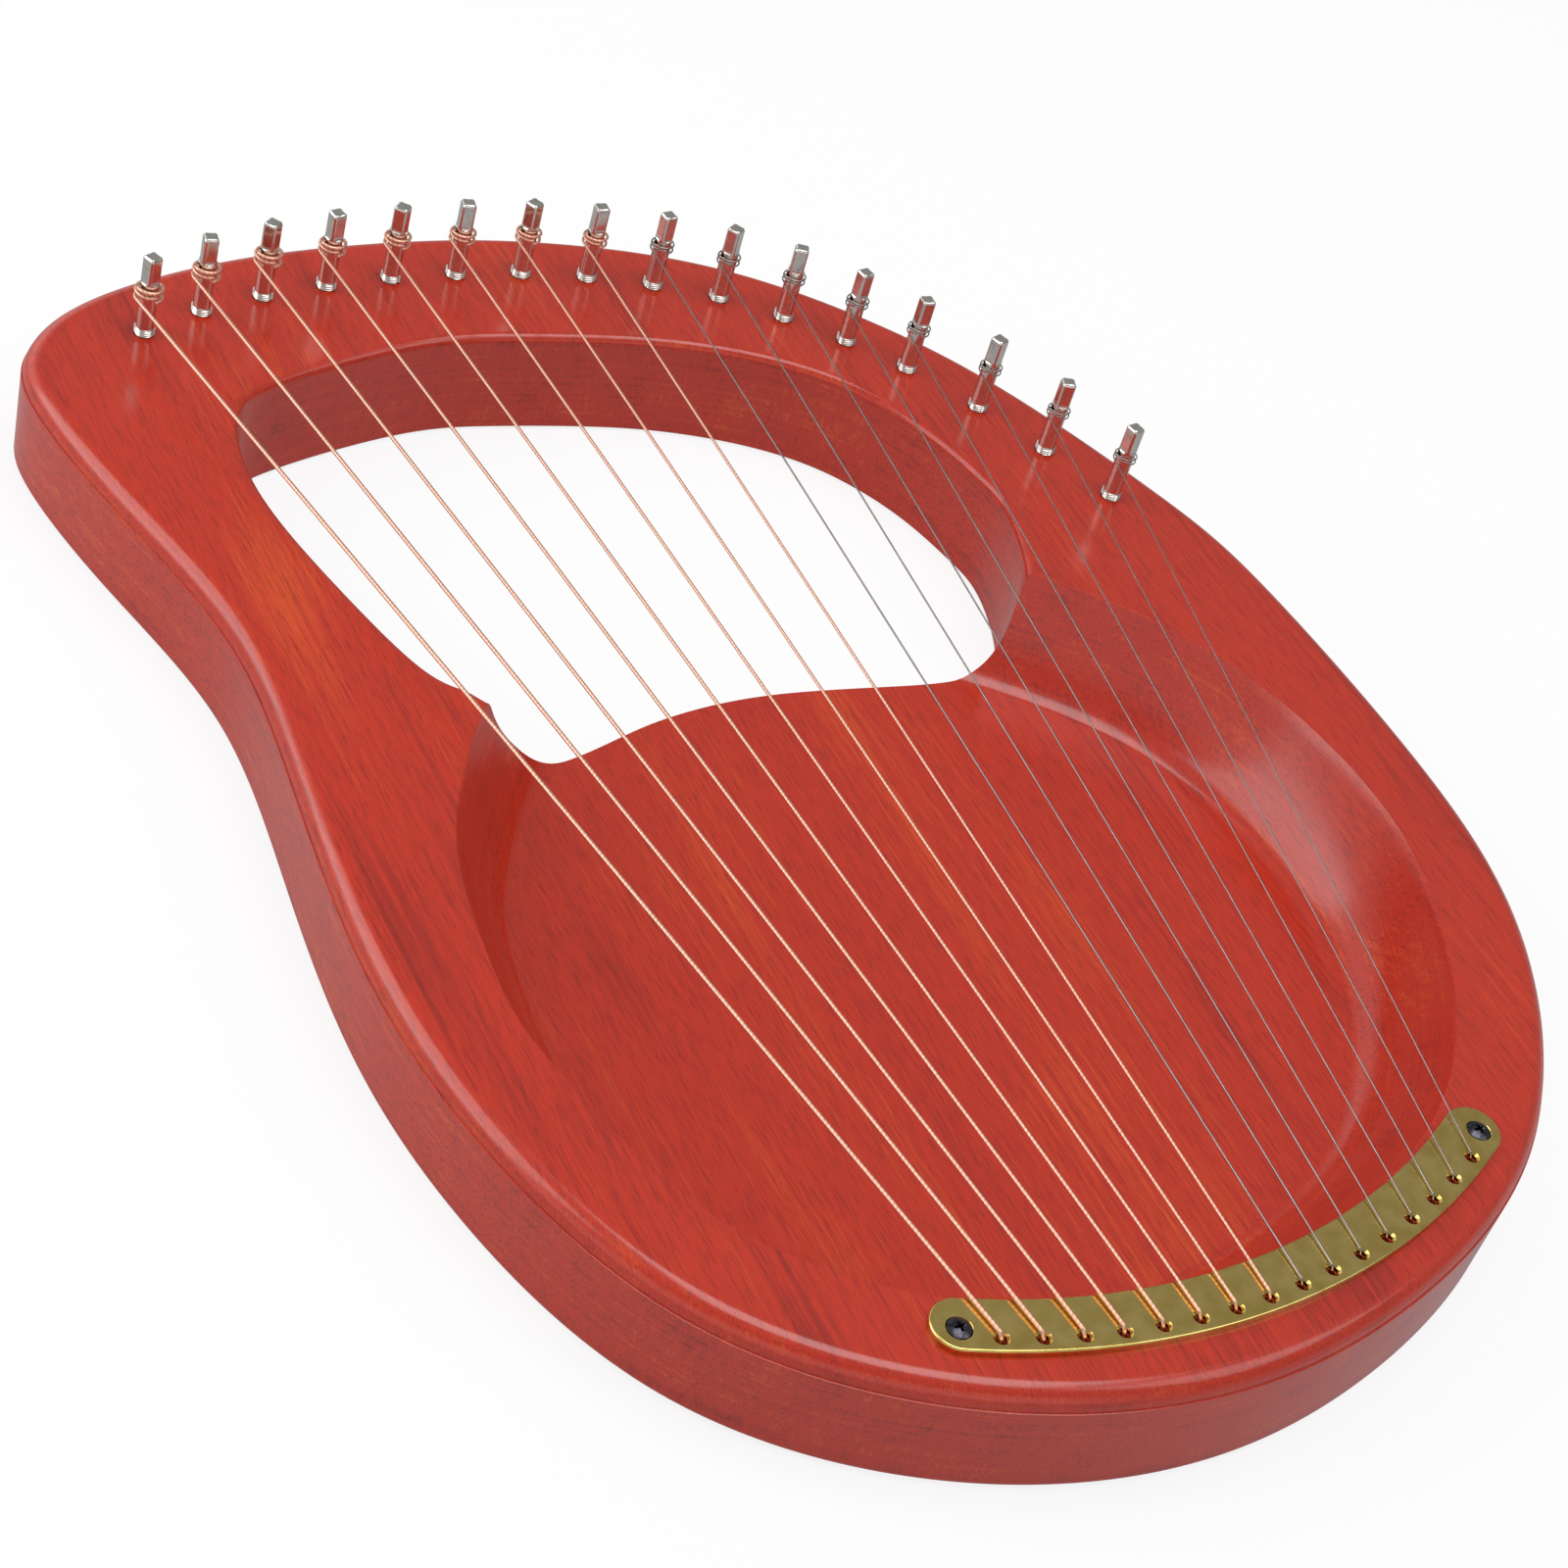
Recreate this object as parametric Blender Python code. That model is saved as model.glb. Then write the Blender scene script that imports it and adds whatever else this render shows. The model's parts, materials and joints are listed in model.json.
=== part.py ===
"""Sixteen-string lyre harp, modelled in metres, +Z up, lying on its back.

The body is one slab of mahogany with a hand opening under the yoke and a carved
dish below it. Sixteen steel pins stand in the yoke. Each string starts at a
ball end behind the tail rim, comes up through a brass plate, runs over the dish
and winds on its own pin. X runs across the strings, Y from the tail to the
yoke, and Z out of the face. The origin is under the middle of the body.
"""
import math

import bpy
import bmesh
import numpy as np

MM = 0.001
TURN = 2 * math.pi

# Body, driving sizes
BODY_LENGTH = 420.0 * MM
BODY_WIDTH = 313.6 * MM
BODY_THICKNESS = 32.0 * MM
FACE_ROUND = 5.0 * MM
FACE_QUIRK = 0.4 * MM
BACK_ROUND = 2.0 * MM
WINDOW_ROUND = 2.5 * MM
DISH_FLOOR = 4.0 * MM
COVE_WIDTH = 20.0 * MM
RIM_WIDTH = 24.2 * MM

# Tuning pins, in a row along the yoke, inset from the body's edge
STRING_COUNT = 16
WOUND_STRINGS = 8
PIN_DIAMETER = 5.0 * MM
PIN_EXPOSED = 24.5 * MM
PIN_BURIED = 15.0 * MM
PIN_HEAD_LENGTH = 8.2 * MM
PIN_HEAD_FLATS = 4.0 * MM
PIN_TIP_CHAMFER = 0.8 * MM
PIN_FOOT_CHAMFER = 0.5 * MM
PIN_EYE_DIAMETER = 1.8 * MM
PIN_EYE_DROP = 1.1 * MM
PIN_ROW_START = -0.04
PIN_ROW_STATIONS = 6.85
PIN_FIRST_INSET = 21.6 * MM
PIN_LAST_INSET = 17.4 * MM
PIN_SPACING = 19.55 * MM
PIN_SPACING_TREBLE = 24.1 * MM
TREBLE_GAPS = 3

# Tail plate: its line of holes is an arc through three points, each given by an
# outline station and an inset from the edge
PLATE_STATIONS = (13.82, 12.45, 11.27)
PLATE_INSETS = (13.9 * MM, 15.3 * MM, 12.2 * MM)
PLATE_THICKNESS = 1.5 * MM
PLATE_WIDTH = 13.8 * MM
PLATE_HOLE_TO_EDGE = 3.6 * MM
PLATE_END_MARGIN = 6.4 * MM
PLATE_EDGE_CHAMFER = 0.3 * MM
PLATE_HOLE_SPACING = 9.43 * MM
PLATE_HOLE_DIAMETER = 2.6 * MM
PLATE_COUNTERSINK = 4.2 * MM
SCREW_FROM_HOLE = 9.0 * MM
SCREW_INSIDE_HOLES = 2.1 * MM
SCREW_HEAD_DIAMETER = 5.6 * MM
SCREW_HEAD_HEIGHT = 1.9 * MM
SCREW_SHANK_DIAMETER = 2.6 * MM
SCREW_LENGTH = 12.0 * MM
SCREW_TAPER_LENGTH = 3.0 * MM
SCREW_TIP_DIAMETER = 0.3 * MM
SCREW_RECESS_DEPTH = 1.1 * MM
SCREW_SLOT_LENGTH = 3.5 * MM
SCREW_SLOT_WIDTH = 0.8 * MM
SCREW_RECESS_TAPER = 0.45
# Radius and height of the head's crown, as shares of the head's own
SCREW_CROWN = ((1.0, 0.0), (0.8, 0.6), (0.4, 1.0))

# Strings
BASS_STRING_DIAMETER = 1.10 * MM
WOUND_STRING_STEP = 0.05 * MM
PLAIN_STRING_DIAMETER = 0.50 * MM
PLAIN_STRING_STEP = 0.02 * MM
STRING_BORE_DIAMETER = 2.2 * MM
BALL_DIAMETER = 4.0 * MM
BALL_LENGTH = 3.6 * MM
BALL_EDGE = 0.4 * MM
BALL_POCKET_DIAMETER = 6.0 * MM
BALL_POCKET_DEPTH = 6.0 * MM
FIXED_TURNS = 0.75
WOUND_TURNS = 1.25
SELF_GAP = 0.45 * MM
PLATE_BEND_DEPTH = 1.5 * MM
# Where a string's last points lie, over the hole's edge and from the coil to
# the pin's axis, as shares of the way
BEND_SHARES = (0.0, 0.35, 0.7, 1.0)
EYE_SHARES = (0.72, 0.35, 0.0)

# Clearance between pieces that touch, room for a faceted coil's flats outside a
# faceted pin, and facet counts
GAP = 0.3 * MM
COIL_FACET_ROOM = 0.15 * MM
SPAN_STEPS = 4
ROUND_STEPS = 16
BORE_STEPS = 8
LOOP_STEPS = 10
END_STEPS = 8
PLATE_STEPS = 24
BACK_ROUND_STEPS = 2
FACE_ROUND_STEPS = 4
WINDOW_ROUND_STEPS = 3
COVE_STEPS = 7
SET_SMOOTH_BELOW = math.radians(35)

# Closed outlines, clockwise from the yoke's left end, as shares of the body's
# width and length from its middle
OUTLINE = (
    (-0.411, 0.465), (-0.272, 0.494), (-0.111, 0.500), (0.027, 0.487),
    (0.182, 0.443), (0.308, 0.362), (0.393, 0.267), (0.461, 0.147),
    (0.491, 0.047), (0.500, -0.125), (0.463, -0.276), (0.333, -0.411),
    (0.138, -0.484), (-0.046, -0.500), (-0.223, -0.464), (-0.368, -0.377),
    (-0.441, -0.249), (-0.461, -0.121), (-0.447, 0.014), (-0.439, 0.141),
    (-0.474, 0.262), (-0.500, 0.371), (-0.480, 0.426),
)
WINDOW = (
    (-0.287, 0.358), (-0.159, 0.380), (-0.064, 0.379), (0.038, 0.366),
    (0.113, 0.349), (0.174, 0.326), (0.227, 0.292), (0.267, 0.241),
    (0.286, 0.190), (0.288, 0.148), (0.259, 0.0885), (0.219, 0.071),
    (0.162, 0.071), (0.035, 0.082), (-0.064, 0.0785), (-0.122, 0.068),
    (-0.182, 0.055), (-0.234, 0.050), (-0.2655, 0.048), (-0.2815, 0.0625),
    (-0.306, 0.086), (-0.336, 0.162), (-0.358, 0.257), (-0.343, 0.327),
)
# The dish follows the body's rim from the first to the last of these outline
# stations, which count key points, and then closes across the window.
DISH_RIM_STATIONS = (9.0, 9.9, 10.8, 11.6, 12.4, 13.2, 14.0, 14.8, 15.5, 16.2)
DISH_TOP = (
    (-0.3785, -0.157), (-0.366, -0.084), (-0.340, -0.028), (-0.2995, 0.022),
    (-0.270, 0.0515), (-0.205, 0.105), (-0.010, 0.190), (0.190, 0.130),
    (0.273, 0.085), (0.372, 0.003),
)


def clear_scene():
    """Remove every object that the scene starts with."""
    for thing in list(bpy.data.objects):
        bpy.data.objects.remove(thing, do_unlink=True)


def finish_material(name, colour, roughness, metallic=0.0):
    """One Principled material with a plain colour."""
    material = bpy.data.materials.new(name)
    material.use_nodes = True
    shader = material.node_tree.nodes["Principled BSDF"]
    shader.inputs["Base Color"].default_value = (*colour, 1.0)
    shader.inputs["Roughness"].default_value = roughness
    shader.inputs["Metallic"].default_value = metallic
    material.diffuse_color = (*colour, 1.0)
    return material


class ClosedSpline:
    """A smooth closed curve through key points, its second derivative continuous."""

    def __init__(self, points):
        self.points = np.asarray(points, float)
        count = len(self.points)
        matrix = np.zeros((count, count))
        for row in range(count):
            matrix[row, row] = 4.0
            matrix[row, row - 1] = 1.0
            matrix[row, (row + 1) % count] = 1.0
        ahead = np.roll(self.points, -1, axis=0)
        behind = np.roll(self.points, 1, axis=0)
        self.slopes = np.linalg.solve(matrix, 3.0 * (ahead - behind))

    def at(self, station):
        """Point at a station, where station 2.5 lies halfway from key 2 to key 3."""
        station = np.asarray(station, float) % len(self.points)
        start = np.floor(station).astype(int)
        end = (start + 1) % len(self.points)
        t = (station - start)[..., None]
        return (
            self.points[start] * (2 * t**3 - 3 * t**2 + 1)
            + self.slopes[start] * (t**3 - 2 * t**2 + t)
            + self.points[end] * (3 * t**2 - 2 * t**3)
            + self.slopes[end] * (t**3 - t**2)
        )

    def inward(self, station):
        """Unit normal that points into a clockwise curve."""
        step = 0.001
        along = self.at(np.asarray(station) + step) - self.at(np.asarray(station) - step)
        along /= np.linalg.norm(along, axis=-1, keepdims=True)
        return np.stack([along[..., 1], -along[..., 0]], axis=-1)

    def inset(self, station, distance):
        """Point moved into the curve from its edge."""
        return self.at(station) + self.inward(station) * distance

    def loop(self, steps):
        """Stations that cut each span between key points into steps."""
        return np.arange(len(self.points) * steps) / steps


def on_body(shares):
    """Outline points in metres from shares of the body's width and length."""
    return np.asarray(shares) * (BODY_WIDTH, BODY_LENGTH)


def walk(curve, inset_at, start, spacings):
    """Stations at given distances along the curve's inset line, one after another."""
    halvings = 40
    stations = [start]
    for spacing in spacings:
        station = stations[-1]
        here = curve.inset(station, inset_at(station))
        near, far = station, station + len(curve.points) / 4
        for _ in range(halvings):
            middle = (near + far) / 2
            reach = np.linalg.norm(curve.inset(middle, inset_at(middle)) - here)
            near, far = (middle, far) if reach < spacing else (near, middle)
        stations.append((near + far) / 2)
    return stations


def add_mesh(name, mesh_data, material=None):
    """Put a bmesh into the scene as an object of its own."""
    bmesh.ops.recalc_face_normals(mesh_data, faces=mesh_data.faces)
    mesh = bpy.data.meshes.new(name)
    mesh_data.to_mesh(mesh)
    mesh_data.free()
    thing = bpy.data.objects.new(name, mesh)
    bpy.context.scene.collection.objects.link(thing)
    if material:
        mesh.materials.append(material)
        mesh.shade_smooth()
        mesh.set_sharp_from_angle(angle=SET_SMOOTH_BELOW)
    else:
        thing.hide_render = True
        thing.display_type = "WIRE"
    return thing


def stack_rings(rings):
    """Closed solid through rings of equal point counts, capped at both ends."""
    solid = bmesh.new()
    loops = [[solid.verts.new(point) for point in ring] for ring in rings]
    count = len(loops[0])
    for lower, upper in zip(loops, loops[1:]):
        for i in range(count):
            j = (i + 1) % count
            solid.faces.new((lower[i], lower[j], upper[j], upper[i]))
    solid.faces.new(loops[0][::-1])
    solid.faces.new(loops[-1])
    return solid


def profile_solid(curve, profile, steps=SPAN_STEPS):
    """Solid whose outline is the curve, inset at each height as the profile says."""
    stations = curve.loop(steps)
    return stack_rings([
        [(x, y, height) for x, y in curve.inset(stations, distance)]
        for distance, height in profile
    ])


def turned_solid(profile, x, y, steps):
    """Solid of revolution about a vertical axis from radius and height pairs."""
    angles = [TURN * i / steps for i in range(steps)]
    return stack_rings([
        [(x + radius * math.cos(a), y + radius * math.sin(a), height) for a in angles]
        for radius, height in profile
    ])


def cut(target, cutter):
    """Take the cutter's shape out of the target with a Boolean modifier."""
    modifier = target.modifiers.new(cutter.name, "BOOLEAN")
    modifier.operation = "DIFFERENCE"
    modifier.solver = "EXACT"
    modifier.object = cutter


def cut_all(target, name, solids):
    """Take many solids, none of which touch, out of the target as one cutter."""
    joined = bmesh.new()
    for solid in solids:
        part = bpy.data.meshes.new(name)
        bmesh.ops.recalc_face_normals(solid, faces=solid.faces)
        solid.to_mesh(part)
        solid.free()
        joined.from_mesh(part)
        bpy.data.meshes.remove(part)
    cut(target, add_mesh(name, joined))


def quarter(radius, steps):
    """Sine and cosine reaches of a quarter circle, from its start to its end."""
    return [
        (radius * math.sin(a), radius * math.cos(a))
        for a in (math.pi / 2 * i / steps for i in range(steps + 1))
    ]


def string_diameter(index):
    """Diameter of a string: eight wound ones, then eight plain ones."""
    if index < WOUND_STRINGS:
        return BASS_STRING_DIAMETER - WOUND_STRING_STEP * index
    return PLAIN_STRING_DIAMETER - PLAIN_STRING_STEP * (index - WOUND_STRINGS)


class Arc:
    """Circle through three points, walked by distance from the middle one."""

    def __init__(self, first, middle, last):
        points = np.array([first, middle, last])
        squares = (points**2).sum(axis=1)
        self.centre = np.linalg.solve(2 * (points[1:] - points[0]), squares[1:] - squares[0])
        across = points[1] - self.centre
        self.radius = np.linalg.norm(across)
        self.middle = math.atan2(across[1], across[0])

    def at(self, distance, outward=0.0):
        """Point a distance along the arc toward the treble, moved away from its centre."""
        angle = self.middle + np.asarray(distance) / self.radius
        spoke = np.stack([np.cos(angle), np.sin(angle)], axis=-1)
        return self.centre + (self.radius + outward) * spoke


class Layout:
    """Plan of the instrument: outlines, pins, plate holes and screws."""

    def __init__(self):
        self.outline = ClosedSpline(on_body(OUTLINE))
        self.window = ClosedSpline(on_body(WINDOW))
        rim = self.outline.inset(np.array(DISH_RIM_STATIONS), RIM_WIDTH)
        self.dish = ClosedSpline(np.vstack([rim, on_body(DISH_TOP)]))
        self.face = BODY_THICKNESS

        even = STRING_COUNT - 1 - TREBLE_GAPS
        spacings = [PIN_SPACING] * even + [PIN_SPACING_TREBLE] * TREBLE_GAPS
        row = walk(self.outline, self.pin_inset, PIN_ROW_START, spacings)
        self.pins = [self.outline.inset(station, self.pin_inset(station)) for station in row]

        self.plate_arc = Arc(*(
            self.outline.inset(station, inset)
            for station, inset in zip(PLATE_STATIONS, PLATE_INSETS)
        ))
        half = (STRING_COUNT - 1) / 2 * PLATE_HOLE_SPACING
        self.holes = [
            self.plate_arc.at(index * PLATE_HOLE_SPACING - half)
            for index in range(STRING_COUNT)
        ]
        screw = half + SCREW_FROM_HOLE
        self.screws = [self.plate_arc.at(side * screw, -SCREW_INSIDE_HOLES) for side in (-1, 1)]
        self.plate_reach = screw + PLATE_END_MARGIN - PLATE_WIDTH / 2

    @staticmethod
    def pin_inset(station):
        """Distance from the body's edge to the pin line, which narrows to the treble."""
        share = (station - PIN_ROW_START) / PIN_ROW_STATIONS
        return PIN_FIRST_INSET + (PIN_LAST_INSET - PIN_FIRST_INSET) * share


def build_body(plan, wood):
    """Slab with rounded edges, a window, a carved dish and every bore."""
    face = plan.face
    round_side = face - FACE_ROUND - FACE_QUIRK
    profile = [(BACK_ROUND - s, BACK_ROUND - c) for s, c in quarter(BACK_ROUND, BACK_ROUND_STEPS)]
    profile += [(0.0, round_side), (FACE_QUIRK, round_side)]
    profile += [
        (FACE_QUIRK + FACE_ROUND - c, face - FACE_ROUND + s)
        for s, c in quarter(FACE_ROUND, FACE_ROUND_STEPS)
    ]
    body = add_mesh("body", profile_solid(plan.outline, profile), wood)

    through = [(0.0, -GAP), (0.0, face - WINDOW_ROUND)]
    through += [
        (c - WINDOW_ROUND, face - WINDOW_ROUND + s)
        for s, c in quarter(WINDOW_ROUND, WINDOW_ROUND_STEPS)[1:]
    ]
    through.append((through[-1][0], face + GAP))
    cut(body, add_mesh("window_cutter", profile_solid(plan.window, through)))

    depth = face - DISH_FLOOR
    cove = [(0.0, face + GAP)]
    cove += [
        (COVE_WIDTH * i / COVE_STEPS, face - depth * math.sin(math.pi / 2 * i / COVE_STEPS))
        for i in range(COVE_STEPS + 1)
    ]
    cut(body, add_mesh("dish_cutter", profile_solid(plan.dish, cove)))

    pin_bore = PIN_DIAMETER / 2 + GAP
    cut_all(body, "pin_bores", [
        turned_solid([(pin_bore, face - PIN_BURIED - GAP), (pin_bore, face + GAP)],
                     x, y, ROUND_STEPS)
        for x, y in plan.pins
    ])
    bore, pocket = STRING_BORE_DIAMETER / 2, BALL_POCKET_DIAMETER / 2
    cut_all(body, "string_bores", [
        turned_solid([(pocket, -GAP), (pocket, BALL_POCKET_DEPTH),
                      (bore, BALL_POCKET_DEPTH), (bore, face + GAP)], x, y, BORE_STEPS)
        for x, y in plan.holes
    ])
    pilot = SCREW_SHANK_DIAMETER / 2 + GAP
    cut_all(body, "screw_pilots", [
        turned_solid([(pilot, face - SCREW_LENGTH - GAP), (pilot, face + GAP)],
                     x, y, BORE_STEPS)
        for x, y in plan.screws
    ])
    return body


def strip_outline(plan, inset):
    """Outline of the plate, its ends rounded, drawn in by an inset."""
    arc, reach = plan.plate_arc, plan.plate_reach
    middle = PLATE_HOLE_TO_EDGE - PLATE_WIDTH / 2
    half = PLATE_WIDTH / 2 - inset
    along = np.linspace(-reach, reach, PLATE_STEPS + 1)
    turn = np.linspace(0, math.pi, END_STEPS + 1)[1:-1, None]

    def end_round(side):
        """Half circle round one end, without the two points that the edges share."""
        centre = arc.at(side * reach, middle)
        spoke = (centre - arc.centre) / np.linalg.norm(centre - arc.centre)
        forward = np.array([-spoke[1], spoke[0]])
        return centre + side * half * (spoke * np.cos(turn) + forward * np.sin(turn))

    return np.vstack([
        arc.at(along, middle + half), end_round(1),
        arc.at(along[::-1], middle - half), end_round(-1),
    ])


def build_plate(plan, brass):
    """Curved brass strip with sixteen countersunk holes and two screw holes."""
    low = plan.face + GAP
    top = low + PLATE_THICKNESS
    rings = [
        [(x, y, height) for x, y in strip_outline(plan, inset)]
        for inset, height in ((0.0, low), (0.0, top - PLATE_EDGE_CHAMFER),
                              (PLATE_EDGE_CHAMFER, top))
    ]
    plate = add_mesh("tail_plate", stack_rings(rings), brass)
    hole, sink = PLATE_HOLE_DIAMETER / 2, PLATE_COUNTERSINK / 2
    cut_all(plate, "plate_holes", [
        turned_solid([(hole, low - GAP), (hole, top - (sink - hole)), (sink, top),
                      (sink, top + GAP)], x, y, BORE_STEPS)
        for x, y in plan.holes
    ])
    shank = SCREW_SHANK_DIAMETER / 2 + GAP
    head = SCREW_HEAD_DIAMETER / 2 + GAP
    cut_all(plate, "plate_screw_holes", [
        turned_solid([(shank, low - GAP), (shank, top - (head - shank)), (head, top),
                      (head, top + GAP)], x, y, ROUND_STEPS)
        for x, y in plan.screws
    ])
    return plate


def build_screw(name, plan, x, y, steel):
    """Oval-head wood screw whose cross recess is cut by two crossed slots."""
    top = plan.face + GAP + PLATE_THICKNESS
    shank, head = SCREW_SHANK_DIAMETER / 2, SCREW_HEAD_DIAMETER / 2
    neck = top - (head - shank)
    tip = plan.face - SCREW_LENGTH
    crown = top + SCREW_HEAD_HEIGHT - (head - shank)
    profile = [
        (SCREW_TIP_DIAMETER / 2, tip + GAP), (shank, tip + SCREW_TAPER_LENGTH), (shank, neck),
    ]
    profile += [(head * out, top + (crown - top) * up) for out, up in SCREW_CROWN]
    screw = add_mesh(name, turned_solid(profile, x, y, ROUND_STEPS), steel)
    long, wide = SCREW_SLOT_LENGTH / 2, SCREW_SLOT_WIDTH / 2
    cross = [
        (long, -wide), (long, wide), (wide, wide), (wide, long), (-wide, long), (-wide, wide),
        (-long, wide), (-long, -wide), (-wide, -wide), (-wide, -long), (wide, -long),
        (wide, -wide),
    ]
    cutter = add_mesh(name + "_recess", stack_rings([
        [(x + u * share, y + v * share, height) for u, v in cross]
        for share, height in ((SCREW_RECESS_TAPER, crown - SCREW_RECESS_DEPTH), (1.0, crown + GAP))
    ]))
    cut(screw, cutter)
    return screw


def flats_radius(angle, radius, flats):
    """Reach of a round rod with four milled flats at an angle."""
    return min(radius, flats / 2 / max(abs(math.cos(angle)), abs(math.sin(angle))))


def build_pin(name, plan, x, y, eye_angle, steel):
    """Steel rod with a milled square head and an eye just under the shoulder."""
    radius = PIN_DIAMETER / 2
    foot = -PIN_BURIED
    shoulder = PIN_EXPOSED - PIN_HEAD_LENGTH
    corner = math.acos(PIN_HEAD_FLATS / PIN_DIAMETER)
    quadrant = [0.0, corner / 2, corner, TURN / 4 - corner, TURN / 4 - corner / 2]
    angles = [q * TURN / 4 + a for q in range(4) for a in quadrant]

    def ring(trim, height, flats=PIN_DIAMETER):
        """Section of the rod between flats, drawn in by a trim."""
        reaches = [flats_radius(a, radius, flats) - trim for a in angles]
        return [(r * math.cos(a), r * math.sin(a), height) for r, a in zip(reaches, angles)]

    rings = [
        ring(PIN_FOOT_CHAMFER, foot), ring(0.0, foot + PIN_FOOT_CHAMFER),
        ring(0.0, shoulder), ring(0.0, shoulder + radius - PIN_HEAD_FLATS / 2, PIN_HEAD_FLATS),
        ring(0.0, PIN_EXPOSED - PIN_TIP_CHAMFER, PIN_HEAD_FLATS),
        ring(PIN_TIP_CHAMFER, PIN_EXPOSED, PIN_HEAD_FLATS),
    ]
    pin = add_mesh(name, stack_rings(rings), steel)
    pin.location = (x, y, plan.face)
    eye = bmesh.new()
    bmesh.ops.create_cone(eye, cap_ends=True, segments=BORE_STEPS,
                          radius1=PIN_EYE_DIAMETER / 2, radius2=PIN_EYE_DIAMETER / 2,
                          depth=PIN_DIAMETER + 4 * GAP)
    drill = add_mesh(name + "_drill", eye)
    drill.parent = pin
    drill.location = (0, 0, shoulder - PIN_EYE_DROP)
    drill.rotation_euler = (0, TURN / 4, eye_angle)
    cut(pin, drill)
    return pin


def tube(name, points, radii, material):
    """Round tube along points, as one open curve with filled ends."""
    curve = bpy.data.curves.new(name, "CURVE")
    curve.dimensions = "3D"
    curve.bevel_depth = 1.0
    curve.bevel_resolution = 1
    curve.use_fill_caps = True
    spline = curve.splines.new("POLY")
    spline.points.add(len(points) - 1)
    for place, point, radius in zip(spline.points, points, radii):
        place.co = (*point, 1.0)
        place.radius = radius
    curve.materials.append(material)
    thing = bpy.data.objects.new(name, curve)
    bpy.context.scene.collection.objects.link(thing)
    return thing


def helix(radius, start, turns, low, high):
    """Points of a clockwise climb about the pin's axis, in the pin's own frame."""
    count = max(2, round(abs(turns) * LOOP_STEPS))
    points = []
    for i in range(count + 1):
        share = i / count
        angle = start - TURN * turns * share
        points.append((radius * math.cos(angle), radius * math.sin(angle),
                       low + (high - low) * share))
    return points


def least_gap(points, diameter):
    """Least clear distance of a wound tube to itself, past its own next bend."""
    points = np.asarray(points)
    apart = np.linalg.norm(points[:, None] - points[None], axis=-1)
    far = np.abs(np.subtract.outer(np.arange(len(points)), np.arange(len(points))))
    apart[far < LOOP_STEPS // 2] = np.inf
    return apart.min() - diameter


def build_string(index, plan, material):
    """One string: its winding, which turns with the pin, and its fixed run."""
    number = f"{index + 1:02d}"
    diameter = string_diameter(index)
    pin = np.array([*plan.pins[index], plan.face])
    hole = np.array([*plan.holes[index], plan.face])
    coil_radius = PIN_DIAMETER / 2 + GAP + diameter / 2 + COIL_FACET_ROOM
    pitch = diameter + SELF_GAP
    eye_height = PIN_EXPOSED - PIN_HEAD_LENGTH - PIN_EYE_DROP
    low = eye_height - WOUND_TURNS * pitch
    fixed_top = low - diameter - GAP
    fixed_low = fixed_top - FIXED_TURNS * SELF_GAP

    away = hole[:2] - pin[:2]
    distance = np.linalg.norm(away)
    heading = math.atan2(away[1], away[0])
    tangent = heading - math.acos(coil_radius / distance)
    wrap = helix(coil_radius, tangent, FIXED_TURNS, fixed_low, fixed_top)

    start = tangent - TURN * FIXED_TURNS
    coil = helix(coil_radius, start, WOUND_TURNS, low, eye_height)
    eye_angle = start - TURN * WOUND_TURNS
    coil += into_eye(coil_radius, eye_angle, eye_height)
    winding = tube(f"string_winding_{number}", coil, [diameter / 2] * len(coil), material)
    winding.location = pin

    top = plan.face + GAP + PLATE_THICKNESS
    toward = away / distance
    lip = PLATE_HOLE_DIAMETER / 2
    bend = []
    for share in BEND_SHARES:
        x, y = hole[:2] - toward * lip * (1 - share)
        bend.append((x, y, top + diameter / 2 + GAP - PLATE_BEND_DEPTH * share**2))
    run = [tuple(pin + np.array(point)) for point in wrap[::-1]] + bend
    radii = [diameter / 2] * len(run)
    for height, radius in ball_end(diameter / 2):
        run.append((hole[0], hole[1], height))
        radii.append(radius)
    tube(f"string_{number}", run, radii, material)
    return eye_angle, least_gap(coil, diameter)


def into_eye(coil_radius, eye_angle, height):
    """Last points of a winding, where it leaves the coil and ends inside the eye."""
    points = []
    for share in EYE_SHARES:
        angle = eye_angle - TURN / LOOP_STEPS * (1 - share) / 2
        reach = coil_radius * share
        points.append((reach * math.cos(angle), reach * math.sin(angle), height))
    return points


def ball_end(wire_radius):
    """Heights and radii of a string's last points, which swell to its ball end."""
    high = BALL_POCKET_DEPTH - GAP
    low = high - BALL_LENGTH
    radius = BALL_DIAMETER / 2
    return [
        (high + BALL_EDGE / 4, wire_radius), (high - BALL_EDGE / 4, radius - BALL_EDGE),
        (high - BALL_EDGE, radius), (low + BALL_EDGE, radius), (low, radius - BALL_EDGE),
    ]


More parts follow.
